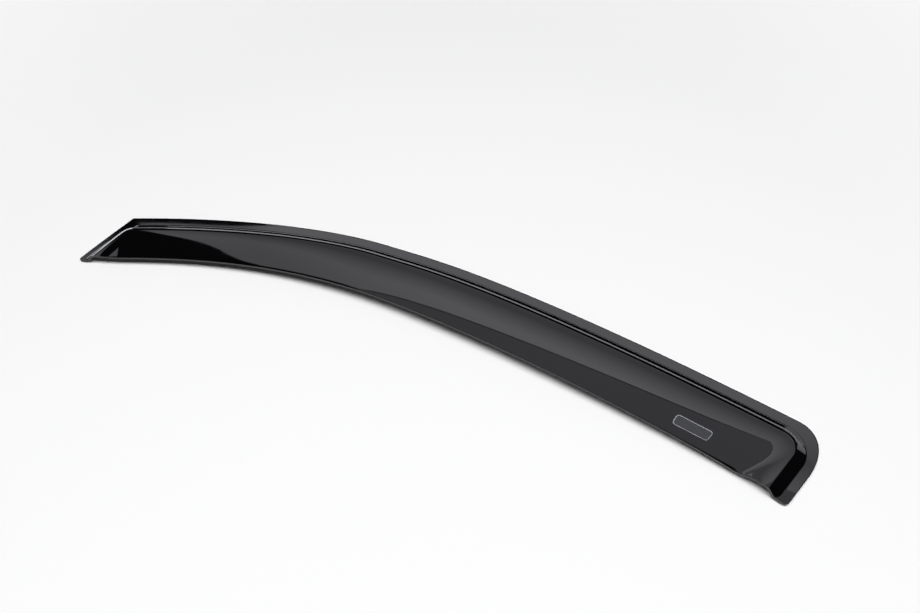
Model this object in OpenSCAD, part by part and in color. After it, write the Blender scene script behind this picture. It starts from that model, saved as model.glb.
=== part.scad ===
// Stick-on rain deflector for the side window of a front door, left-hand side.
// A formed acrylic shell: a flat flange runs round the front, top and rear, a rounded step
// lifts off it, and a wide, gently arched face ends in a free lower edge.
// Foam tape under the flange holds it to the door frame.
// The plan is drawn from the front tip at (0, 0) to the rear foot at (chord, 0), +Y to the top edge.

/* [Top edge] */
// Straight distance from the front tip to the rear foot
chord = 800; // [740:2:860]
// Where the raked front edge meets the top edge, back from the tip
corner_x = 25.5; // [18:0.5:40]
// Where the raked front edge meets the top edge, up from the tip
corner_y = 75; // [68:0.5:84]
// Angle at which the top edge leaves the front corner
shoulder_angle = 20.5; // [14:0.5:25]
// How far the shoulder keeps that angle
shoulder_pull = 79; // [60:1:95]
// Highest point of the top edge, back from the tip
crown_x = 320; // [300:1:350]
// Highest point of the top edge, up from the tip
crown_y = 143.5; // [132:0.5:152]
// How far the crown stays level towards the front
crown_pull_front = 93; // [70:1:120]
// How far the crown stays level towards the rear
crown_pull_rear = 60; // [50:1:90]
// Fall of the long rear run of the top edge, in degrees
rear_run_angle = 8.8; // [8:0.1:10.5]
// How far the rear run keeps that angle
rear_run_pull = 367; // [280:1:375]

/* [Rear corner] */
// Overhang of the rear corner behind the rear foot
rear_overhang = 32.5; // [20:0.5:42]
// Height of the rear corner above the rear foot
rear_rise = 90; // [82:0.5:96]
// Length of the corner's round along the top edge
rear_round_top = 40; // [32:0.5:46]
// Length of the corner's round down the rear edge
rear_round_side = 56; // [50:0.5:68]

/* [Lower edge] */
// Angle at which the lower edge leaves the front tip
lower_front_angle = 14.5; // [12:0.5:22]
// How far the lower edge keeps the front angle
lower_front_pull = 37; // [25:1:80]
// Highest point of the lower edge, back from the tip
lower_crown_x = 319; // [290:1:340]
// Highest point of the lower edge, up from the tip
lower_crown_y = 68; // [60:0.5:74]
// How far the lower edge stays level towards the front
lower_level_front = 160; // [100:1:175]
// How far the lower edge stays level towards the rear
lower_level_rear = 139; // [110:1:180]
// Angle at which the lower edge runs into the rear foot
lower_rear_angle = 16; // [10:0.5:19]
// How far the lower edge keeps the rear angle
lower_rear_pull = 45; // [35:1:110]

/* [Flange and step] */
// Width of the flat flange along the raked front edge
flange_front = 6; // [6:0.25:9]
// Width of the flat flange along the top edge
flange_top = 11.5; // [9:0.25:13]
// Width of the flat flange down the rear edge
flange_rear = 9.5; // [8:0.25:12]
// Plan width of the step along the front edge
step_front = 13; // [11.5:0.25:14]
// Plan width of the step along the top edge
step_top = 15.5; // [13:0.25:18]
// Plan width of the step down the rear edge
step_rear = 14; // [12:0.25:17]
// Height of the step, flange to face
step_height = 9; // [7:0.25:10]
// Radius in the root of the step, on the outside
root_radius = 2.5; // [1.5:0.25:4]
// Radius over the crest of the step, on the outside
crest_radius = 10.5; // [8:0.25:12]
// Plan radius of the crest at the front corner
front_crest_round = 10; // [6:0.5:16]
// Plan radius of the crest at the rear corner
rear_crest_round = 16; // [10:0.5:20]

/* [Sheet] */
// Thickness of the acrylic sheet
sheet = 3; // [2.5:0.1:3.5]
// Radius of the face's arch from the crest to the lower edge
face_arch = 300; // [220:5:600]
// Height of the lengthwise bow that follows the door
bow = 13; // [8:0.5:18]
// Upright radius of the door frame that the flange follows
frame_radius = 1200; // [1000:25:2500]
// Polished bevel round the cut edges
edge_bevel = 0.6; // [0.3:0.1:0.9]
// Corner cut off the flange at the front tip
tip_round = 5; // [3:0.5:7]
// Corner cut off the flange at the rear foot
foot_round = 6; // [4:0.5:8]

/* [Foam tape] */
// Thickness of the foam tape with its release liner
tape_thick = 1.2; // [0.8:0.1:1.6]
// Width of the tape along the front edge
tape_width_front = 5; // [4:0.25:5]
// Width of the tape along the top edge
tape_width_top = 9; // [6:0.5:9]
// Width of the tape down the rear edge
tape_width_rear = 7; // [5:0.5:7]
// Margin from the flange's outer edge to the tape
tape_margin = 0.5; // [0.3:0.1:1]
// Distance from a strip's end to the tip, corner or foot that it stops at
tape_gap = 8; // [6:0.5:14]

/* [Hidden] */
// Steps along each stretch of the outline
tip_steps = 4;
front_steps = 5;
corner_steps = 6;
shoulder_steps = 26;
run_steps = 40;
turn_steps = 2;
round_steps = 16;
rear_steps = 4;
tape_short_steps = 8;
// Steps across the section
root_steps = 4;
crest_steps = 6;
face_steps = 8;
// Halvings in the search for a crest corner
halvings = 20;
// Length of plain face left at both ends of the lower edge
end_face = 6;
// Share of the straight front or rear edge over which its cut end is drawn
end_share = 0.2;
// Share of the rear round at which its tape starts
tape_turn = 0.4;
// Air left between the sheet and the tape's facets
tape_clearance = 0.02;
smoke = [0.07, 0.07, 0.08];
foam = [0.16, 0.16, 0.17];

// Plane geometry
function unit(v) = v / norm(v);
function ray(angle) = [cos(angle), sin(angle)];
function right_of(d) = [d.y, -d.x];
function mix(a, b, t) = a + (b - a) * t;
function cubic(p, t) = pow(1 - t, 3) * p[0] + 3 * pow(1 - t, 2) * t * p[1]
    + 3 * (1 - t) * t * t * p[2] + t * t * t * p[3];
function cubic_way(p, t) = unit(pow(1 - t, 2) * (p[1] - p[0]) + 2 * (1 - t) * t * (p[2] - p[1])
    + t * t * (p[3] - p[2]));
function corner_curve(a, corner, b, t) = pow(1 - t, 2) * a + 2 * (1 - t) * t * corner + t * t * b;
function steps(n) = [for (i = [0 : n - 1]) i / n];

// Corners of the plan
tip = [0, 0];
foot = [chord, 0];
corner = [corner_x, corner_y];
crown = [crown_x, crown_y];
rear_corner = [chord + rear_overhang, rear_rise];
front_way = unit(corner - tip);
rear_way = unit(foot - rear_corner);
run_way = ray(-rear_run_angle);
run_end = rear_corner - rear_round_top * run_way;
round_end = rear_corner + rear_round_side * rear_way;
front_in = right_of(front_way);
rear_in = right_of(rear_way);

// The outline's curves
round_ease = 0.6;
shoulder = [corner, corner + shoulder_pull * ray(shoulder_angle), crown - [crown_pull_front, 0], crown];
run = [crown, crown + [crown_pull_rear, 0], run_end - rear_run_pull * run_way, run_end];
rear_round = [run_end, run_end + round_ease * rear_round_top * run_way,
    round_end - round_ease * rear_round_side * rear_way, round_end];

// Distance from the outer edge to the inner end of the crest
inset_front = flange_front + step_front;
inset_top = flange_top + step_top;
inset_rear = flange_rear + step_rear;

// Plan centre of the crest's front corner: the right distance from both the front and the top edge
function crest_centre(u) = cubic(shoulder, u)
    + (inset_top + front_crest_round) * right_of(cubic_way(shoulder, u));
function too_near(u) = (crest_centre(u) - tip) * front_in < inset_front + front_crest_round;
function solve_corner(low, high, left) = left == 0 ? mix(low, high, 0.5)
    : too_near(mix(low, high, 0.5)) ? solve_corner(mix(low, high, 0.5), high, left - 1)
    : solve_corner(low, mix(low, high, 0.5), left - 1);
shoulder_start = solve_corner(0, 0.6, halvings);
front_centre = crest_centre(shoulder_start);
front_foot = (front_centre - tip) * front_way;

// Plan centre of the crest's rear corner, in the same way
function rear_crest_centre(u) = cubic(run, u) + (inset_top + rear_crest_round) * right_of(cubic_way(run, u));
function too_far(u) = (rear_crest_centre(u) - rear_corner) * rear_in > inset_rear + rear_crest_round;
function solve_rear(low, high, left) = left == 0 ? mix(low, high, 0.5)
    : too_far(mix(low, high, 0.5)) ? solve_rear(mix(low, high, 0.5), high, left - 1)
    : solve_rear(low, mix(low, high, 0.5), left - 1);
run_stop = solve_rear(0.5, 1, halvings);
rear_centre = rear_crest_centre(run_stop);
rear_foot = (rear_centre - rear_corner) * rear_way;

// Where the cut at both ends meets the inner end of the crest
tip_cut = ray(lower_front_angle);
foot_cut = ray(180 - lower_rear_angle);
crest_first = tip + tip_cut * inset_front / (tip_cut * front_in);
crest_last = foot + foot_cut * inset_rear / (foot_cut * rear_in);

// Inner end of the crest seen from a point of the outer edge
function front_fan(o) = front_centre + front_crest_round * unit(o - front_centre);
function rear_fan(o) = (o - rear_corner) * rear_way < rear_foot
    ? rear_centre + rear_crest_round * unit(o - rear_centre)
    : rear_corner + ((o - rear_corner) * rear_way) * rear_way + inset_rear * rear_in;

// One row per station: outer edge, inner end of the crest, width of flange, width of step
tip_start = tip + tip_round * front_way;
front_turn = tip + front_foot * front_way;
front_crest = front_turn + inset_front * front_in;
rear_crest = round_end + inset_rear * rear_in;
foot_start = foot - foot_round * rear_way;
crest_tip = mix(crest_first, front_crest, end_share);
crest_foot = mix(crest_last, rear_crest, end_share);
function row(o, k, inset, step) = let (stretch = norm(k - o) / inset) [o, k, step * stretch];
function fan_row(o, k, step) = [o, k, step];
front_rows = [
    for (t = steps(tip_steps)) row(corner_curve(tip + tip_round * tip_cut, tip, tip_start, t),
        mix(crest_first, crest_tip, t), inset_front, step_front),
    for (t = steps(front_steps)) row(mix(tip_start, front_turn, t),
        mix(crest_tip, front_crest, t), inset_front, step_front),
    for (t = steps(corner_steps)) let (o = mix(front_turn, corner, t)) fan_row(o, front_fan(o), step_front),
    for (t = steps(corner_steps)) let (o = cubic(shoulder, t * shoulder_start))
        fan_row(o, front_fan(o), mix(step_front, step_top, t))];
top_rows = [
    for (t = steps(shoulder_steps)) let (u = mix(shoulder_start, 1, t), o = cubic(shoulder, u))
        fan_row(o, o + inset_top * right_of(cubic_way(shoulder, u)), step_top),
    for (t = steps(run_steps)) let (u = t * run_stop, o = cubic(run, u))
        fan_row(o, o + inset_top * right_of(cubic_way(run, u)), step_top)];
rear_rows = [
    for (t = steps(turn_steps)) let (o = cubic(run, mix(run_stop, 1, t)))
        fan_row(o, rear_fan(o), step_top),
    for (t = steps(round_steps)) let (o = cubic(rear_round, t))
        fan_row(o, rear_fan(o), mix(step_top, step_rear, t)),
    for (t = steps(rear_steps)) row(mix(round_end, foot_start, t),
        mix(rear_crest, crest_foot, t), inset_rear, step_rear),
    for (t = [0 : 1 / tip_steps : 1]) row(corner_curve(foot_start, foot, foot + foot_round * foot_cut, t),
        mix(crest_foot, crest_last, t), inset_rear, step_rear)];
rows = concat(front_rows, top_rows, rear_rows);
last = len(rows) - 1;

// The lower edge, met by each station at the same share of its length
lower_first = crest_first + end_face * tip_cut;
lower_last = crest_last + end_face * foot_cut;
lower_crown = [lower_crown_x, lower_crown_y];
lower_fore = [lower_first, lower_first + lower_front_pull * tip_cut, lower_crown - [lower_level_front, 0],
    lower_crown];
lower_aft = [lower_crown, lower_crown + [lower_level_rear, 0], lower_last + lower_rear_pull * foot_cut,
    lower_last];
fore_share = (lower_crown.x - lower_first.x) / (lower_last.x - lower_first.x);
function lower_at(share) = share < fore_share ? cubic(lower_fore, share / fore_share)
    : cubic(lower_aft, (share - fore_share) / (1 - fore_share));
crest_run = [for (i = 0, s = 0; i <= last; i = i + 1, s = s + norm(rows[min(i, last)][1] - rows[i - 1][1])) s];
lower_points = [for (s = crest_run) lower_at(s / crest_run[last])];

// Back of the flange: a lengthwise bow from end to end, and the frame's upright arc, level at both corners
length = max([for (r = rows) r[0].x]) - min([for (r = rows) r[0].x]);
bow_radius = (pow(length / 2, 2) + bow * bow) / (2 * bow);
function arc_rise(t, half, radius) = sqrt(radius * radius - pow(t - half, 2)) - sqrt(radius * radius - half * half);
function door_at(p) = arc_rise(p.x, length / 2, bow_radius) + arc_rise(p.y, corner_y / 2, frame_radius);

// Section of the step: root arc, straight wall and crest arc, tangent to each other.
// A step too narrow for both radii has them eased down together.
wall_left = 0.98;
function arc_share(w) = min(1, wall_left * (w * w + step_height * step_height)
    / (2 * step_height * (root_radius + crest_radius)));
function wall_angle(w) = let (radii = arc_share(w) * (root_radius + crest_radius), rise = step_height - radii)
    atan2(rise, w) + asin(radii / norm([w, rise]));

// Points of the section as [distance along the way in, height], for the outside or the inside of the sheet
function step_points(w, inside) = let (
        a = wall_angle(w),
        root = root_radius * arc_share(w),
        crest = crest_radius * arc_share(w),
        depth = inside ? sheet : 0)
    concat(
        [for (i = [0 : root_steps]) let (b = a * i / root_steps)
            [(root + depth) * sin(b), sheet + root - (root + depth) * cos(b)]],
        [for (i = [crest_steps : -1 : 0]) let (b = a * i / crest_steps)
            [w - (crest - depth) * sin(b), sheet + step_height - crest + (crest - depth) * cos(b)]]);
function face_point(v, depth) = let (b = atan2(v, face_arch))
    [v - depth * sin(b), sheet + step_height - v * v / (2 * face_arch) - depth * cos(b)];

// Point of the plan turned into a point of space, a height above the door frame
function lift(p, z) = [p.x, p.y, z + door_at(p)];

// One side of the sheet at a station, from the outer edge to the lower edge
function skin(i, inside) = let (
        o = rows[i][0],
        k = rows[i][1],
        w = rows[i][2],
        m = lower_points[i],
        way = unit(k - o),
        flange = norm(k - o) - w,
        across = norm(m - k),
        way_down = unit(m - k),
        depth = inside ? sheet : 0,
        drop = inside ? sheet : edge_bevel)
    concat(
        [lift(o, sheet - drop)],
        [lift(o + edge_bevel * way, sheet - depth)],
        [for (p = step_points(w, inside)) lift(o + (flange + p.x) * way, p.y)],
        [for (j = [1 : face_steps])
            let (p = face_point((across - (j == face_steps ? edge_bevel : 0)) * j / face_steps, depth))
            lift(k + p.x * way_down, p.y)],
        [let (p = face_point(across, drop)) lift(k + p.x * way_down, p.y)]);

// Closed band of quads, as triangles, round a row of sections that all have the same count of points
function reversed(l) = [for (i = [len(l) - 1 : -1 : 0]) l[i]];
function quad(a, b, c, d) = [[a, b, c], [a, c, d]];
function joined(l) = [for (a = l) each a];
module swept(sections, half) {
    n = len(sections);
    loop = 2 * half;
    sides = joined([for (i = [0 : n - 2], j = [0 : loop - 1])
        let (a = i * loop, b = a + loop, k = (j + 1) % loop) quad(a + j, b + j, b + k, a + k)]);
    first = joined([for (j = [0 : half - 2]) quad(j, j + 1, loop - 2 - j, loop - 1 - j)]);
    end = (n - 1) * loop;
    final = joined([for (j = [0 : half - 2]) quad(end + j, end + loop - 1 - j, end + loop - 2 - j, end + j + 1)]);
    polyhedron(points = joined(sections), faces = concat(sides, first, final), convexity = 10);
}

// Strip of tape under the flange, given the outer edge's points and the ways in from them
function tape_section(o, way, width) = let (
        a = o + tape_margin * way,
        b = a + width * way,
        top = -tape_clearance,
        base = top - tape_thick)
    [lift(a, top), lift(b, top), lift(b, base), lift(a, base)];
function ends_in(n) = [for (i = [0 : n]) i / n];

// Where the strips stop, as shares of the curves that they follow
front_length = norm(corner - tip);
top_start = tape_gap / (3 * shoulder_pull);
top_stop = 1 - tape_gap / (3 * rear_run_pull);
foot_gap = foot - tape_gap * rear_way;
front_strip = [for (t = ends_in(tape_short_steps))
    tape_section(mix(tape_gap, front_length - tape_gap, t) * front_way, front_in, tape_width_front)];
top_strip = [
    for (t = steps(shoulder_steps)) let (u = mix(top_start, 1, t))
        tape_section(cubic(shoulder, u), right_of(cubic_way(shoulder, u)), tape_width_top),
    for (t = ends_in(run_steps)) let (u = t * top_stop)
        tape_section(cubic(run, u), right_of(cubic_way(run, u)), tape_width_top)];
rear_strip = [
    for (t = steps(tape_short_steps)) let (u = mix(tape_turn, 1, t))
        tape_section(cubic(rear_round, u), right_of(cubic_way(rear_round, u)), tape_width_rear),
    for (t = ends_in(rear_steps)) tape_section(mix(round_end, foot_gap, t), rear_in, tape_width_rear)];

// Middle of the part in plan, and the height of its lowest point above the door frame's zero
outline = [for (r = rows) r[0]];
middle = [for (k = [0, 1]) (max([for (p = outline) p[k]]) + min([for (p = outline) p[k]])) / 2];
lowest = min([for (strip = [front_strip, top_strip, rear_strip], section = strip, p = section) p.z]);

module placed() translate([-middle.x, -middle.y, -lowest]) children();

// The formed sheet, in dark smoked acrylic
module visor_shell() {
    color(smoke) placed()
        swept([for (i = [0 : last]) concat(skin(i, false), reversed(skin(i, true)))], len(skin(0, false)));
}

// Double-sided foam tape along the raked front edge
module tape_front() {
    color(foam) placed() swept(front_strip, 2);
}

// Double-sided foam tape along the top edge
module tape_top() {
    color(foam) placed() swept(top_strip, 2);
}

// Double-sided foam tape down the rear edge
module tape_rear() {
    color(foam) placed() swept(rear_strip, 2);
}

visor_shell();
tape_front();
tape_top();
tape_rear();
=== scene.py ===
import math
import bpy
import numpy as np
from mathutils import Matrix, Vector


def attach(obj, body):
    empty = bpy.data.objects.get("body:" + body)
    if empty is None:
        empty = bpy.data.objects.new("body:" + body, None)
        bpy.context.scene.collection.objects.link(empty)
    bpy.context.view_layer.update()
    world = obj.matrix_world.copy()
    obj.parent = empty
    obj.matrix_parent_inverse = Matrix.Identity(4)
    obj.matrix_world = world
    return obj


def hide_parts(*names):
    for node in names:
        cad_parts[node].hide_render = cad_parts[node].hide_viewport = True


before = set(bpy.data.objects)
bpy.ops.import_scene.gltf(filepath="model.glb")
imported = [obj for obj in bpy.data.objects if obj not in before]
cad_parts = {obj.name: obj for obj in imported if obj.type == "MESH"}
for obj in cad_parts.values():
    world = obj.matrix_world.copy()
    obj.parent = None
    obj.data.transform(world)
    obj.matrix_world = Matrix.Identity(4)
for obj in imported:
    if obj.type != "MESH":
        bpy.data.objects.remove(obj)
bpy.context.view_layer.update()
MM = 0.001

# Sizes of the part in millimetres and degrees, the same as the CAD source's
chord = 800
corner = np.array([25.5, 75.0])
shoulder_angle, shoulder_pull = 20.5, 79
crown = np.array([320.0, 143.5])
crown_pull_front, crown_pull_rear = 93, 60
rear_run_angle, rear_run_pull = 8.8, 367
rear_overhang, rear_rise = 32.5, 90
rear_round_top, rear_round_side = 40, 56
lower_front_angle, lower_front_pull = 14.5, 37
lower_crown = np.array([319.0, 68.0])
lower_level_front, lower_level_rear = 160, 139
lower_rear_angle, lower_rear_pull = 16, 45
flange_front, flange_top, flange_rear = 6, 11.5, 9.5
step_front, step_top, step_rear = 13, 15.5, 14
step_height, root_radius, crest_radius = 9, 2.5, 10.5
front_crest_round, rear_crest_round = 10, 16
sheet, face_arch, bow, frame_radius = 3, 300, 13, 1200
edge_bevel, tip_round, foot_round = 0.6, 5, 6
tape_thick, tape_margin, tape_gap, tape_clearance = 1.2, 0.5, 8, 0.02
tape_width = {"front": 5, "top": 9, "rear": 7}
end_face, round_ease = 6, 0.6
end_share, tape_turn, wall_left = 0.2, 0.4, 0.98

# Steps along each stretch of the outline, finer than the CAD source's
tip_steps, front_steps, front_turn_steps, corner_steps = 8, 24, 20, 20
shoulder_steps, run_steps, run_turn_steps = 110, 170, 6
round_steps, rear_steps, foot_steps = 56, 16, 8
# Steps along the tape, in the same order
strip_front, strip_shoulder, strip_run, strip_round, strip_rear = 16, 70, 110, 20, 12
# Halvings in the search for a crest corner, and the shares of each curve that are searched
halvings = 30
shoulder_search, run_search = (0, 0.6), (0.5, 1)


# Plane geometry
def unit(v):
    return v / np.linalg.norm(v)


def ray(angle):
    return np.array([math.cos(math.radians(angle)), math.sin(math.radians(angle))])


def right_of(d):
    return np.array([d[1], -d[0]])


def mix(a, b, t):
    return a + (b - a) * t


def cubic(p, t):
    u = 1 - t
    return u ** 3 * p[0] + 3 * u ** 2 * t * p[1] + 3 * u * t * t * p[2] + t ** 3 * p[3]


def cubic_way(p, t):
    u = 1 - t
    return unit(u ** 2 * (p[1] - p[0]) + 2 * u * t * (p[2] - p[1]) + t * t * (p[3] - p[2]))


def corner_curve(a, c, b, t):
    return (1 - t) ** 2 * a + 2 * (1 - t) * t * c + t * t * b


def steps(n):
    """Shares from 0 in n steps, without the 1 at the end."""
    return [i / n for i in range(n)]


def ends_in(n):
    """Shares from 0 to 1 in n steps, with both ends."""
    return [i / n for i in range(n + 1)]


# Corners and curves of the plan
tip, foot = np.zeros(2), np.array([float(chord), 0.0])
rear_corner = np.array([chord + rear_overhang, float(rear_rise)])
front_way, rear_way = unit(corner - tip), unit(foot - rear_corner)
run_way = ray(-rear_run_angle)
run_end = rear_corner - rear_round_top * run_way
round_end = rear_corner + rear_round_side * rear_way
front_in, rear_in = right_of(front_way), right_of(rear_way)
shoulder = [corner, corner + shoulder_pull * ray(shoulder_angle),
            crown - [crown_pull_front, 0], crown]
run = [crown, crown + [crown_pull_rear, 0], run_end - rear_run_pull * run_way, run_end]
rear_round = [run_end, run_end + round_ease * rear_round_top * run_way,
              round_end - round_ease * rear_round_side * rear_way, round_end]
inset_front, inset_top = flange_front + step_front, flange_top + step_top
inset_rear = flange_rear + step_rear


def bisect(test, low, high):
    """The share up to which the test holds."""
    for _ in range(halvings):
        half = (low + high) / 2
        low, high = (half, high) if test(half) else (low, half)
    return (low + high) / 2


def crest_centre(curve, u, radius):
    return cubic(curve, u) + (inset_top + radius) * right_of(cubic_way(curve, u))


shoulder_start = bisect(lambda u: (crest_centre(shoulder, u, front_crest_round) - tip) @ front_in
                        < inset_front + front_crest_round, *shoulder_search)
front_centre = crest_centre(shoulder, shoulder_start, front_crest_round)
front_foot = (front_centre - tip) @ front_way
run_stop = bisect(lambda u: (crest_centre(run, u, rear_crest_round) - rear_corner) @ rear_in
                  > inset_rear + rear_crest_round, *run_search)
rear_centre = crest_centre(run, run_stop, rear_crest_round)
rear_foot = (rear_centre - rear_corner) @ rear_way
tip_cut, foot_cut = ray(lower_front_angle), ray(180 - lower_rear_angle)
crest_first = tip + tip_cut * inset_front / (tip_cut @ front_in)
crest_last = foot + foot_cut * inset_rear / (foot_cut @ rear_in)


def front_fan(o):
    """Inner end of the crest for an outer point o, round the front corner."""
    return front_centre + front_crest_round * unit(o - front_centre)


def rear_fan(o):
    """Inner end of the crest for an outer point o, round the rear corner and down the leg."""
    along = (o - rear_corner) @ rear_way
    if along < rear_foot:
        return rear_centre + rear_crest_round * unit(o - rear_centre)
    return rear_corner + along * rear_way + inset_rear * rear_in


# Stations round the outline: outer edge, inner end of the crest, width of the step
tip_start, front_turn = tip + tip_round * front_way, tip + front_foot * front_way
foot_start = foot - foot_round * rear_way
front_bend, rear_bend = front_turn + inset_front * front_in, round_end + inset_rear * rear_in
crest_tip, crest_foot = mix(crest_first, front_bend, end_share), mix(crest_last, rear_bend, end_share)


def row(o, k, inset, step):
    """A station whose step narrows with the distance between its two ends."""
    return [o, k, step * np.linalg.norm(k - o) / inset]


def top_row(curve, u):
    o = cubic(curve, u)
    return [o, o + inset_top * right_of(cubic_way(curve, u)), step_top]


rows = []
for t in steps(tip_steps):
    o = corner_curve(tip + tip_round * tip_cut, tip, tip_start, t)
    rows.append(row(o, mix(crest_first, crest_tip, t), inset_front, step_front))
for t in steps(front_steps):
    rows.append(row(mix(tip_start, front_turn, t), mix(crest_tip, front_bend, t), inset_front, step_front))
for t in steps(front_turn_steps):
    o = mix(front_turn, corner, t)
    rows.append([o, front_fan(o), step_front])
for t in steps(corner_steps):
    o = cubic(shoulder, t * shoulder_start)
    rows.append([o, front_fan(o), mix(step_front, step_top, t)])
rows += [top_row(shoulder, mix(shoulder_start, 1, t)) for t in steps(shoulder_steps)]
rows += [top_row(run, t * run_stop) for t in steps(run_steps)]
for t in steps(run_turn_steps):
    o = cubic(run, mix(run_stop, 1, t))
    rows.append([o, rear_fan(o), step_top])
for t in steps(round_steps):
    o = cubic(rear_round, t)
    rows.append([o, rear_fan(o), mix(step_top, step_rear, t)])
for t in steps(rear_steps):
    rows.append(row(mix(round_end, foot_start, t), mix(rear_bend, crest_foot, t), inset_rear, step_rear))
for t in ends_in(foot_steps):
    o = corner_curve(foot_start, foot, foot + foot_round * foot_cut, t)
    rows.append(row(o, mix(crest_foot, crest_last, t), inset_rear, step_rear))

# The lower edge, met by each station at the same share of its length
lower_first, lower_last = crest_first + end_face * tip_cut, crest_last + end_face * foot_cut
lower_fore = [lower_first, lower_first + lower_front_pull * tip_cut,
              lower_crown - [lower_level_front, 0], lower_crown]
lower_aft = [lower_crown, lower_crown + [lower_level_rear, 0],
             lower_last + lower_rear_pull * foot_cut, lower_last]
fore_share = (lower_crown[0] - lower_first[0]) / (lower_last[0] - lower_first[0])


def lower_at(share):
    if share < fore_share:
        return cubic(lower_fore, share / fore_share)
    return cubic(lower_aft, (share - fore_share) / (1 - fore_share))


crest_run = [0.0]
for a, b in zip(rows, rows[1:]):
    crest_run.append(crest_run[-1] + np.linalg.norm(b[1] - a[1]))
lower_points = [lower_at(s / crest_run[-1]) for s in crest_run]

# Back of the flange: a lengthwise bow and the frame's upright arc
edge = np.array([r[0] for r in rows])
length = edge[:, 0].max() - edge[:, 0].min()
bow_radius = ((length / 2) ** 2 + bow * bow) / (2 * bow)


def arc_rise(t, half, radius):
    return math.sqrt(radius * radius - (t - half) ** 2) - math.sqrt(radius * radius - half * half)


def door_at(p):
    return arc_rise(p[0], length / 2, bow_radius) + arc_rise(p[1], corner[1] / 2, frame_radius)


def lift(p, z):
    return np.array([p[0], p[1], z + door_at(p)])


# Section of the step: how finely each part of it is cut, and where the flange has its own lines
root_cuts, crest_cuts, face_cuts, bevel_cuts = 8, 18, 26, 3
flange_lines = (0.06, 0.5, 0.94)
# The crest's radius at the foot, and the stations between which it tightens to it
crest_tight, tight_from, tight_to = 3.6, 372, 402


def step_points(w, depth, crest_round):
    """Places across and over the flange, at a depth into the sheet, for a step w wide."""
    room = (w * w + step_height ** 2) / (2 * step_height * (root_radius + crest_round))
    share = min(1, wall_left * room)
    root, crest = root_radius * share, crest_round * share
    rise = step_height - root - crest
    a = math.atan2(rise, w) + math.asin((root + crest) / math.hypot(w, rise))
    made = []
    for t in ends_in(root_cuts):
        made.append(((root + depth) * math.sin(a * t), sheet + root - (root + depth) * math.cos(a * t)))
    for t in reversed(ends_in(crest_cuts)):
        made.append((w - (crest - depth) * math.sin(a * t), sheet + step_height - crest
                     + (crest - depth) * math.cos(a * t)))
    return made


def face_point(v, depth):
    """The face's arch, v down from the inner end of the crest."""
    b = math.atan2(v, face_arch)
    return v - depth * math.sin(b), sheet + step_height - v * v / (2 * face_arch) - depth * math.cos(b)


def crest_round_at(i):
    """The crest tightens on its way round the rear corner, and stays so down the leg."""
    t = min(1, max(0, (i - tight_from) / (tight_to - tight_from)))
    return mix(crest_radius, crest_tight, t * t * (3 - 2 * t))


def skin(i, inside):
    """One side of the sheet at a station, from the flange's outer edge to the lower edge."""
    o, k, w = rows[i]
    m = lower_points[i]
    way, down = unit(k - o), unit(m - k)
    flange, across = np.linalg.norm(k - o) - w, np.linalg.norm(m - k)
    depth = sheet if inside else 0
    made = []
    for t in ends_in(bevel_cuts):
        a = t * math.pi / 2
        if inside:
            made.append(lift(o + edge_bevel * t * way, 0))
        else:
            made.append(lift(o + edge_bevel * (1 - math.cos(a)) * way,
                             sheet - edge_bevel * (1 - math.sin(a))))
    level = 0 if inside else sheet
    made += [lift(o + mix(edge_bevel, flange, t) * way, level) for t in flange_lines]
    made += [lift(o + (flange + p[0]) * way, p[1]) for p in step_points(w, depth, crest_round_at(i))]
    reach = across - edge_bevel
    for t in ends_in(face_cuts)[1:]:
        p = face_point(reach * t, depth)
        made.append(lift(k + p[0] * down, p[1]))
    for t in ends_in(bevel_cuts)[1:]:
        a = t * math.pi / 2
        if inside:
            p = face_point(reach + edge_bevel * t, sheet)
        else:
            p = face_point(reach + edge_bevel * math.sin(a), edge_bevel * (1 - math.cos(a)))
        made.append(lift(k + p[0] * down, p[1]))
    return made


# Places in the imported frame
middle = (edge.max(0) + edge.min(0)) / 2
foot_gap = foot - tape_gap * rear_way
front_length = np.linalg.norm(corner - tip)


def on_curve(curve, shares):
    """Places on a curve, each with the way from there into the part."""
    return [(cubic(curve, u), right_of(cubic_way(curve, u))) for u in shares]


# A curve leaves its end at three times its handle's length per share, which makes a share of tape_gap
routes = {
    "front": [(mix(tape_gap, front_length - tape_gap, t) * front_way, front_in)
              for t in ends_in(strip_front)],
    "top": on_curve(shoulder, [mix(tape_gap / (3 * shoulder_pull), 1, t) for t in steps(strip_shoulder)])
    + on_curve(run, [t * (1 - tape_gap / (3 * rear_run_pull)) for t in ends_in(strip_run)]),
    "rear": on_curve(rear_round, [mix(tape_turn, 1, t) for t in steps(strip_round)])
    + [(mix(round_end, foot_gap, t), rear_in) for t in ends_in(strip_rear)]}


def ribbon(route, start, stop, top, base):
    """Sections of a strip that lies from start to stop in from the outer edge."""
    made = []
    for o, way in route:
        a, b = o + start * way, o + stop * way
        made.append([lift(a, top), lift(b, top), lift(b, base), lift(a, base)])
    return made


tape_base = -tape_clearance - tape_thick
lowest = min(p[2] for n, r in routes.items()
             for s in ribbon(r, tape_margin, tape_margin + tape_width[n], 0, tape_base) for p in s)
shift = np.array([-middle[0], -middle[1], -lowest])


# Edges that turn by more than these degrees stay sharp, on swept and on ringed pieces
swept_sharp, ringed_sharp = 40, 30


def solid(name, sections, faces, sharp):
    """A mesh piece from sections of points in mm, smooth but for edges sharper than an angle."""
    points = (np.array(sections).reshape(-1, 3) + shift) * MM
    mesh = bpy.data.meshes.new(name)
    mesh.from_pydata(points.tolist(), [], faces)
    mesh.validate()
    mesh.shade_smooth()
    mesh.set_sharp_from_angle(angle=math.radians(sharp))
    piece = bpy.data.objects.new(name, mesh)
    bpy.context.scene.collection.objects.link(piece)
    return piece


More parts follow.
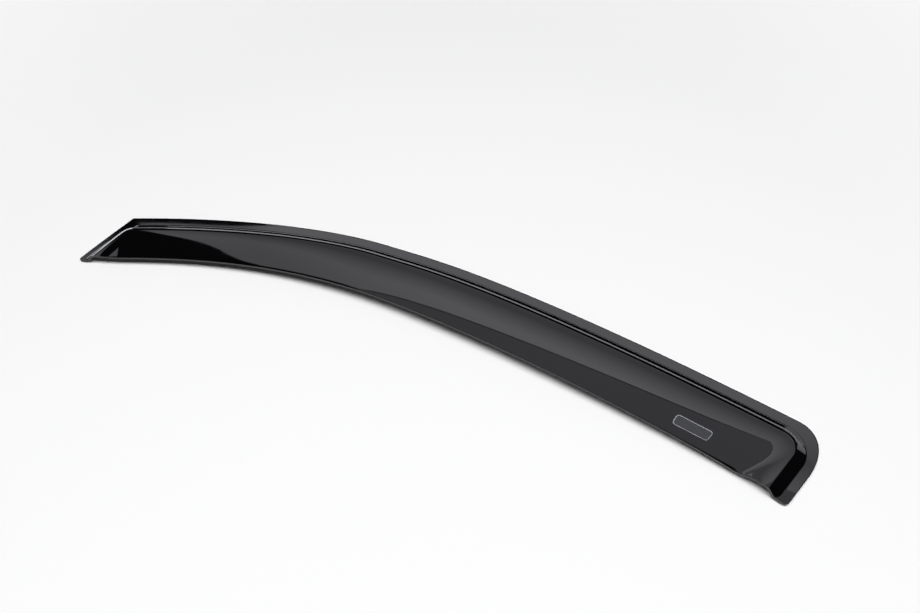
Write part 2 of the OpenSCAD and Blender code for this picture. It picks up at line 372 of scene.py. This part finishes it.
def quads(n, m, spans):
    """Quads between n sections of m points each, over a number of spans."""
    return [(i * m + j, i * m + (j + 1) % m, (i + 1) % n * m + (j + 1) % m, (i + 1) % n * m + j)
            for i in range(spans) for j in range(m)]


def swept(name, sections):
    """A closed tube of quads through sections of equal count, with a cap on either end."""
    n, m = len(sections), len(sections[0])
    faces = quads(n, m, n - 1)
    for j in range(m // 2 - 1):
        last = (j, j + 1, m - 2 - j, m - 1 - j)
        faces += [tuple(reversed(last)), tuple((n - 1) * m + k for k in last)]
    return solid(name, sections, faces, swept_sharp)


# Materials
tint_span = (0.35, 0.65)


def new_material(name):
    made = bpy.data.materials.new(name)
    made.use_nodes = True
    nodes = made.node_tree.nodes
    return made, nodes, made.node_tree.links, nodes["Principled BSDF"]


def noise(nodes, links, scale, detail, rough, stretch=(1, 1, 1)):
    coords = nodes.new("ShaderNodeTexCoord")
    mapping = nodes.new("ShaderNodeMapping")
    mapping.inputs["Scale"].default_value = stretch
    texture = nodes.new("ShaderNodeTexNoise")
    texture.inputs["Scale"].default_value = scale
    texture.inputs["Detail"].default_value = detail
    texture.inputs["Roughness"].default_value = rough
    links.new(coords.outputs["Object"], mapping.inputs["Vector"])
    links.new(mapping.outputs["Vector"], texture.inputs["Vector"])
    return texture.outputs["Fac"]


def ramp(nodes, links, source, start, end, low, top):
    """Low where the source is at start, top where it is at end, and graded between them."""
    made = nodes.new("ShaderNodeMapRange")
    made.inputs["From Min"].default_value = start
    made.inputs["From Max"].default_value = end
    made.inputs["To Min"].default_value = low
    made.inputs["To Max"].default_value = top
    links.new(source, made.inputs["Value"])
    return made.outputs["Result"]


def combine(nodes, links, operation, a, b, clamp=False):
    made = nodes.new("ShaderNodeMath")
    made.operation = operation
    made.use_clamp = clamp
    links.new(a, made.inputs[0])
    links.new(b, made.inputs[1])
    return made.outputs["Value"]


def bump(nodes, links, shader, height, strength, distance):
    made = nodes.new("ShaderNodeBump")
    made.inputs["Strength"].default_value = strength
    made.inputs["Distance"].default_value = distance
    links.new(height, made.inputs["Height"])
    links.new(made.outputs["Normal"], shader.inputs["Normal"])


def tint(nodes, links, shader, source, dark, light):
    made = nodes.new("ShaderNodeValToRGB")
    for element, place, colour in zip(made.color_ramp.elements, tint_span, (dark, light)):
        element.position = place
        element.color = (*colour, 1)
    links.new(source, made.inputs["Fac"])
    links.new(made.outputs["Color"], shader.inputs["Base Color"])


def coat(name, grain, dark, light, gloss, relief, ior=1.5, metallic=0.0, haze=None, span=(0.3, 0.7)):
    """A material whose grain (scale, detail, roughness, stretch) shows in its colour, gloss and relief.
    The gloss is one roughness, or two that a texture grades over a span of its values: the haze
    if one is given, or else the grain. The relief is a strength and a height in metres."""
    made, nodes, links, shader = new_material(name)
    shader.inputs["IOR"].default_value = ior
    shader.inputs["Metallic"].default_value = metallic
    texture = noise(nodes, links, *grain)
    tint(nodes, links, shader, texture, dark, light)
    if isinstance(gloss, tuple):
        graded = noise(nodes, links, *haze) if haze else texture
        links.new(ramp(nodes, links, graded, *span, *gloss), shader.inputs["Roughness"])
    else:
        shader.inputs["Roughness"].default_value = gloss
    bump(nodes, links, shader, texture, *relief)
    return made


acrylic = coat("smoked_acrylic", grain=(9.0, 2.0, 0.4), dark=(0.0006, 0.0006, 0.0008),
               light=(0.0014, 0.0014, 0.0018), gloss=(0.02, 0.05), relief=(0.12, 0.0006), ior=1.49,
               haze=(60.0, 6.0, 0.6), span=(0.35, 0.7))
foam = coat("foam_tape", grain=(1800.0, 3.0, 0.6), dark=(0.012, 0.012, 0.013), light=(0.05, 0.05, 0.052),
            gloss=0.9, relief=(0.6, 0.0003), ior=1.4)
liner = coat("release_liner", grain=(140.0, 3.0, 0.5, (0.35, 1.0, 1.0)), dark=(0.42, 0.012, 0.014),
             light=(0.55, 0.02, 0.022), gloss=(0.25, 0.4), relief=(0.25, 0.0004), ior=1.48)
silver = coat("badge_silver", grain=(900.0, 3.0, 0.5, (0.1, 1.0, 1.0)), dark=(0.46, 0.47, 0.48),
              light=(0.66, 0.67, 0.68), gloss=(0.3, 0.42), relief=(0.1, 0.00005), metallic=1.0)
field = coat("badge_field", grain=(700.0, 3.0, 0.5), dark=(0.02, 0.021, 0.024), light=(0.035, 0.036, 0.04),
             gloss=(0.14, 0.24), relief=(0.08, 0.00005))

# The formed sheet
shell = swept("visor", [skin(i, False) + skin(i, True)[::-1] for i in range(len(rows))])
shell.data.materials.append(acrylic)
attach(shell, "root")
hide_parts("visor_shell")

# Foam tape with its liner, together as thick as the CAD strips
liner_thick = 0.1
liner_top = tape_base + liner_thick
for name, route in routes.items():
    inner = tape_margin + tape_width[name]
    pad = swept("foam_" + name, ribbon(route, tape_margin, inner, -tape_clearance, liner_top))
    pad.data.materials.append(foam)
    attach(pad, "root")
    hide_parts("tape_" + name)
    film = swept("liner_" + name, ribbon(route, tape_margin, inner, liner_top, tape_base))
    film.data.materials.append(liner)
    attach(film, "root")

# A plain plate near the rear of the face: a thin silver rim round a bare dark field
plate_long, plate_tall, plate_corner, plate_rim = 36, 12, 3.2, 0.8
plate_station, plate_up, plate_lean = 339.5, 17, 0.03
plate_proud, field_proud = 0.9, 0.65
rim_round, rim_lip, least_corner = 0.2, 0.05, 0.3
field_rings = (1, 2, 3, 4, 4.8)
quarter_cuts = 8


def on_face(station, up, proud):
    """A point over the face, at a share of the way between two stations and up from the lower edge."""
    i = int(station)
    made = []
    for n in (i, i + 1):
        k, m = rows[n][1], lower_points[n]
        p = face_point(np.linalg.norm(m - k) - up, -proud)
        made.append(lift(k + p[0] * unit(m - k), p[1]))
    return mix(made[0], made[1], station - i)


plate_first = int(plate_station)
station_long = np.linalg.norm(lower_points[plate_first + 1] - lower_points[plate_first])


def plate_ring(inset, proud):
    """The plate's rounded outline, drawn in by inset, at a height over the face."""
    radius = max(plate_corner - inset, least_corner)
    long, tall = plate_long / 2 - inset - radius, plate_tall / 2 - inset - radius
    made = []
    for quarter, (x, y) in enumerate([(1, 1), (-1, 1), (-1, -1), (1, -1)]):
        for t in ends_in(quarter_cuts):
            a = math.pi / 2 * (quarter + t)
            along, across = x * long + radius * math.cos(a), y * tall + radius * math.sin(a)
            made.append(on_face(plate_station + along / station_long,
                                plate_up + across + plate_lean * along, proud))
    return made


def ringed(name, rings, closed):
    """A solid through rings: a closed one comes back to its first ring, an open one gets two lids."""
    n, m = len(rings), len(rings[0])
    faces = quads(n, m, n if closed else n - 1)
    if not closed:
        faces += [tuple(reversed(range(m))), tuple((n - 1) * m + j for j in range(m))]
    piece = solid(name, rings, faces, ringed_sharp)
    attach(piece, "root")
    return piece


rim = ringed("badge_rim", [plate_ring(0, 0), plate_ring(0, plate_proud - rim_round),
                           plate_ring(rim_round, plate_proud), plate_ring(plate_rim - rim_round, plate_proud),
                           plate_ring(plate_rim, field_proud - rim_lip), plate_ring(plate_rim, 0)], True)
rim.data.materials.append(silver)
field_plate = ringed("badge_field", [plate_ring(plate_rim, 0), plate_ring(plate_rim, field_proud)]
                     + [plate_ring(plate_rim + d, field_proud) for d in field_rings], False)
field_plate.data.materials.append(field)

# Camera: where it stood over the table, and how this part lay in front of it
focal_px, pitch, distance = 979.72, 54.5294, 1067.59
place_x, place_y, place_turn = -431.174, 64.940, -0.382474
image_width, sensor_width = 920, 36
turn = Matrix.Rotation(-place_turn, 3, "Z")
stand = Vector((0, -distance * math.cos(math.radians(pitch)), distance * math.sin(math.radians(pitch))))
flange_level = -lowest + sheet


def to_part(p):
    """From mm over the table, seen from the camera (right, away, up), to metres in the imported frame."""
    q = turn @ Vector((p[0] - place_x, p[1] - place_y, 0))
    return Vector((q.x - middle[0], q.y - middle[1], p[2] + flange_level)) * MM


camera = bpy.data.objects.new("camera", bpy.data.cameras.new("camera"))
bpy.context.scene.collection.objects.link(camera)
camera.location = to_part(stand)
aim = to_part(Vector((0, 0, 0))) - camera.location
right = (turn @ Vector((1, 0, 0))).normalized()
back = -aim.normalized()
up = back.cross(right).normalized()
camera.rotation_mode = "QUATERNION"
camera.rotation_quaternion = Matrix((right, up, back)).transposed().to_quaternion()
camera.data.sensor_width = sensor_width
camera.data.lens = focal_px * sensor_width / image_width
camera.data.clip_start, camera.data.clip_end = 0.01, 100
bpy.context.scene.camera = camera

# Floor: paper that fades to plain white far from the part, and is clear from below
floor_half, fade_start, fade_end, paper_white = 6.0, 0.5, 1.05, 0.98
floor_mesh = bpy.data.meshes.new("floor")
floor_mesh.from_pydata([(-floor_half, -floor_half, 0), (floor_half, -floor_half, 0),
                        (floor_half, floor_half, 0), (-floor_half, floor_half, 0)], [], [(0, 1, 2, 3)])
floor = bpy.data.objects.new("floor", floor_mesh)
bpy.context.scene.collection.objects.link(floor)
paper, nodes, links, shader = new_material("floor_paper")
shader.inputs["Base Color"].default_value = (0.95, 0.95, 0.955, 1)
shader.inputs["Roughness"].default_value = 0.9
shader.inputs["Specular IOR Level"].default_value = 0
spot, reach = nodes.new("ShaderNodeTexCoord"), nodes.new("ShaderNodeVectorMath")
reach.operation = "LENGTH"
links.new(spot.outputs["Object"], reach.inputs[0])
seen = nodes.new("ShaderNodeLightPath")
looks = seen.outputs["Is Camera Ray"]
for kind in ("Is Glossy Ray", "Is Transmission Ray"):
    looks = combine(nodes, links, "ADD", looks, seen.outputs[kind], clamp=True)
faded = combine(nodes, links, "MULTIPLY", looks,
                ramp(nodes, links, reach.outputs["Value"], fade_start, fade_end, 0, 1))
white, far_off, below, clear = (nodes.new("ShaderNode" + kind) for kind in
                                ("Emission", "MixShader", "MixShader", "BsdfTransparent"))
white.inputs["Strength"].default_value = paper_white
links.new(faded, far_off.inputs["Fac"])
links.new(shader.outputs["BSDF"], far_off.inputs[1])
links.new(white.outputs["Emission"], far_off.inputs[2])
side_seen = nodes.new("ShaderNodeNewGeometry")
links.new(side_seen.outputs["Backfacing"], below.inputs["Fac"])
links.new(far_off.outputs["Shader"], below.inputs[1])
links.new(clear.outputs["BSDF"], below.inputs[2])
links.new(below.outputs["Shader"], nodes["Material Output"].inputs["Surface"])
floor_mesh.materials.append(paper)

# World: white to the camera, a dark room in the gloss, a little fill for the rest
bpy.context.scene.view_settings.view_transform = "Standard"
world = bpy.data.worlds.new("studio")
bpy.context.scene.world = world
world.use_nodes = True
nodes, links = world.node_tree.nodes, world.node_tree.links
fill = nodes["Background"]
room, backdrop = nodes.new("ShaderNodeBackground"), nodes.new("ShaderNodeBackground")
for shade, strength in ((fill, 0.07), (room, 0.015), (backdrop, 1.0)):
    shade.inputs["Color"].default_value = (1, 1, 1, 1)
    shade.inputs["Strength"].default_value = strength
path = nodes.new("ShaderNodeLightPath")
in_gloss, in_view = nodes.new("ShaderNodeMixShader"), nodes.new("ShaderNodeMixShader")
links.new(path.outputs["Is Glossy Ray"], in_gloss.inputs["Fac"])
links.new(fill.outputs["Background"], in_gloss.inputs[1])
links.new(room.outputs["Background"], in_gloss.inputs[2])
links.new(path.outputs["Is Camera Ray"], in_view.inputs["Fac"])
links.new(in_gloss.outputs["Shader"], in_view.inputs[1])
links.new(backdrop.outputs["Background"], in_view.inputs[2])
links.new(in_view.outputs["Shader"], nodes["World Output"].inputs["Surface"])

# Light sheets, in mm over the table as the camera sees it: right, away and up
high, edge_steps = 1200, 12
cool_white = (0.98, 0.98, 1.05, 1)
to_right, away, slant = (1, 0, 0), (0, 1, 0), (0.5, 0.866, 0)


def grade(nodes, links, way, start, end, low, top):
    """A strength that goes from low at start to top at end, along a direction."""
    way = Vector(way).normalized()
    line = turn @ way
    coords, along = nodes.new("ShaderNodeTexCoord"), nodes.new("ShaderNodeVectorMath")
    along.operation = "DOT_PRODUCT"
    along.inputs[1].default_value = line
    links.new(coords.outputs["Object"], along.inputs[0])
    first, last = (to_part(way * s).dot(line) for s in (start, end))
    return ramp(nodes, links, along.outputs["Value"], first, last, low, top)


def card(name, corners, glow):
    """A glowing studio sheet, seen only in the gloss. The glow is a strength, or a list of grades
    that are multiplied. A grade is a direction, the start and end of the grade along it, and the
    strength at each."""
    mesh = bpy.data.meshes.new(name)
    mesh.from_pydata([to_part(Vector(c)) for c in corners], [], [tuple(range(len(corners)))])
    made = bpy.data.objects.new(name, mesh)
    bpy.context.scene.collection.objects.link(made)
    sheet_glow = bpy.data.materials.new(name)
    sheet_glow.use_nodes = True
    nodes, links = sheet_glow.node_tree.nodes, sheet_glow.node_tree.links
    nodes.remove(nodes["Principled BSDF"])
    light = nodes.new("ShaderNodeEmission")
    light.inputs["Color"].default_value = cool_white
    links.new(light.outputs["Emission"], nodes["Material Output"].inputs["Surface"])
    if isinstance(glow, list):
        grades = [grade(nodes, links, *g) for g in glow]
        strength = grades[0]
        for other in grades[1:]:
            strength = combine(nodes, links, "MULTIPLY", strength, other)
        links.new(strength, light.inputs["Strength"])
    else:
        light.inputs["Strength"].default_value = glow
    mesh.materials.append(sheet_glow)
    made.visible_camera = False
    made.visible_shadow = False
    made.visible_diffuse = False


def bend(a, b, c, d):
    """Points of a cubic curve from a to d, with b and c as its handles."""
    return [tuple(cubic(np.array([a, b, c, d], float), t)) for t in ends_in(edge_steps)]


def hung(points):
    """Corners of a sheet that hangs level over the table."""
    return [(x, y, high) for x, y in points]


def upright(a, b, tall):
    """Corners of a sheet that stands on the table from a to b."""
    return [(*a, 0), (*b, 0), (*b, tall), (*a, tall)]


# Two softboxes hang over the far side of the table and share the edge between them. A dimmer
# ceiling hangs nearer, just short of the first one, over the middle and the right.
near_end, right_end = (1000, 220), (1400, 200)
near_edge = bend((-679, 400), (-225, 710), (80, 375), near_end)
between = (bend((-1060, 1350), (-880, 1380), (-700, 1390), (-500, 1400))
           + bend((-500, 1400), (-50, 1400), (300, 1070), (835, 700))[1:] + [(960, 560), (1000, 400)])
left_edge = bend((-1060, 1350), (-990, 1210), (-770, 1000), (-695, 592))[1:]
far_edge = ([(1170, 540)] + bend((1085, 655), (440, 1110), (0, 1530), (-507, 1530))
            + bend((-507, 1530), (-710, 1410), (-900, 1450), (-1065, 1400))[1:])
ceiling_left, ceiling_right, ceiling_gap, ceiling_glow = -480, 720, 12, 0.88
ceiling_near = [(ceiling_left, 100), (870, -560), (1500, -560), right_end, near_end]
ceiling_edge = [(x, y - ceiling_gap) for x, y in near_edge[::-1] if ceiling_left < x < ceiling_right]
card("softbox_near", hung(near_edge + between[::-1] + left_edge),
     [(slant, 540, 890, 2.15, 0.85), (to_right, -600, -50, 0.65, 1)])
card("softbox_far", hung(between + [near_end, right_end] + far_edge),
     [(to_right, -700, -560, 1.3, 1.95), (away, 250, 700, 0.42, 1)])
card("ceiling", hung(ceiling_near + ceiling_edge), ceiling_glow)

# A small box hangs at the far left, and a wide one behind the camera for the views from the back.
# Low walls stand far off and at the left, and a tall one stands at the far right.
near_box_glow, far_wall_glow, left_wall_glow, right_wall_glow = 1.3, 4.2, 9.0, 1.8
card("left_box", hung([(-1330, 950), (-1110, 950), (-1080, 1330), (-1330, 1330)]),
     [(away, 1060, 1290, 1.3, 0.05)])
card("near_box", hung([(-1100, -1000), (-1100, -2400), (1300, -2400), (1300, -1200)]), near_box_glow)
card("far_wall", upright((-900, 1900), (2600, 1900), 215), far_wall_glow)
card("left_wall", upright((-1740, 920), (-953, 1580), 330), left_wall_glow)
card("right_wall", upright((1850, 1900), (3300, 1400), 900), right_wall_glow)

# The lamp over the table: its size sets how soft the shadow is
lamp_place = Vector((0, -700, 3300))
lamp = bpy.data.lights.new("lamp_over", "AREA")
lamp.shape = "RECTANGLE"
lamp.size, lamp.size_y = 3.0, 1.25
lamp.energy = 124
lamp_over = bpy.data.objects.new("lamp_over", lamp)
bpy.context.scene.collection.objects.link(lamp_over)
lamp_over.location = to_part(lamp_place)
lamp_over.rotation_mode = "QUATERNION"
lamp_over.rotation_quaternion = (lamp_over.location - to_part(Vector((0, 0, 0)))).to_track_quat("Z", "Y")
lamp_over.visible_camera = False
lamp_over.visible_glossy = False
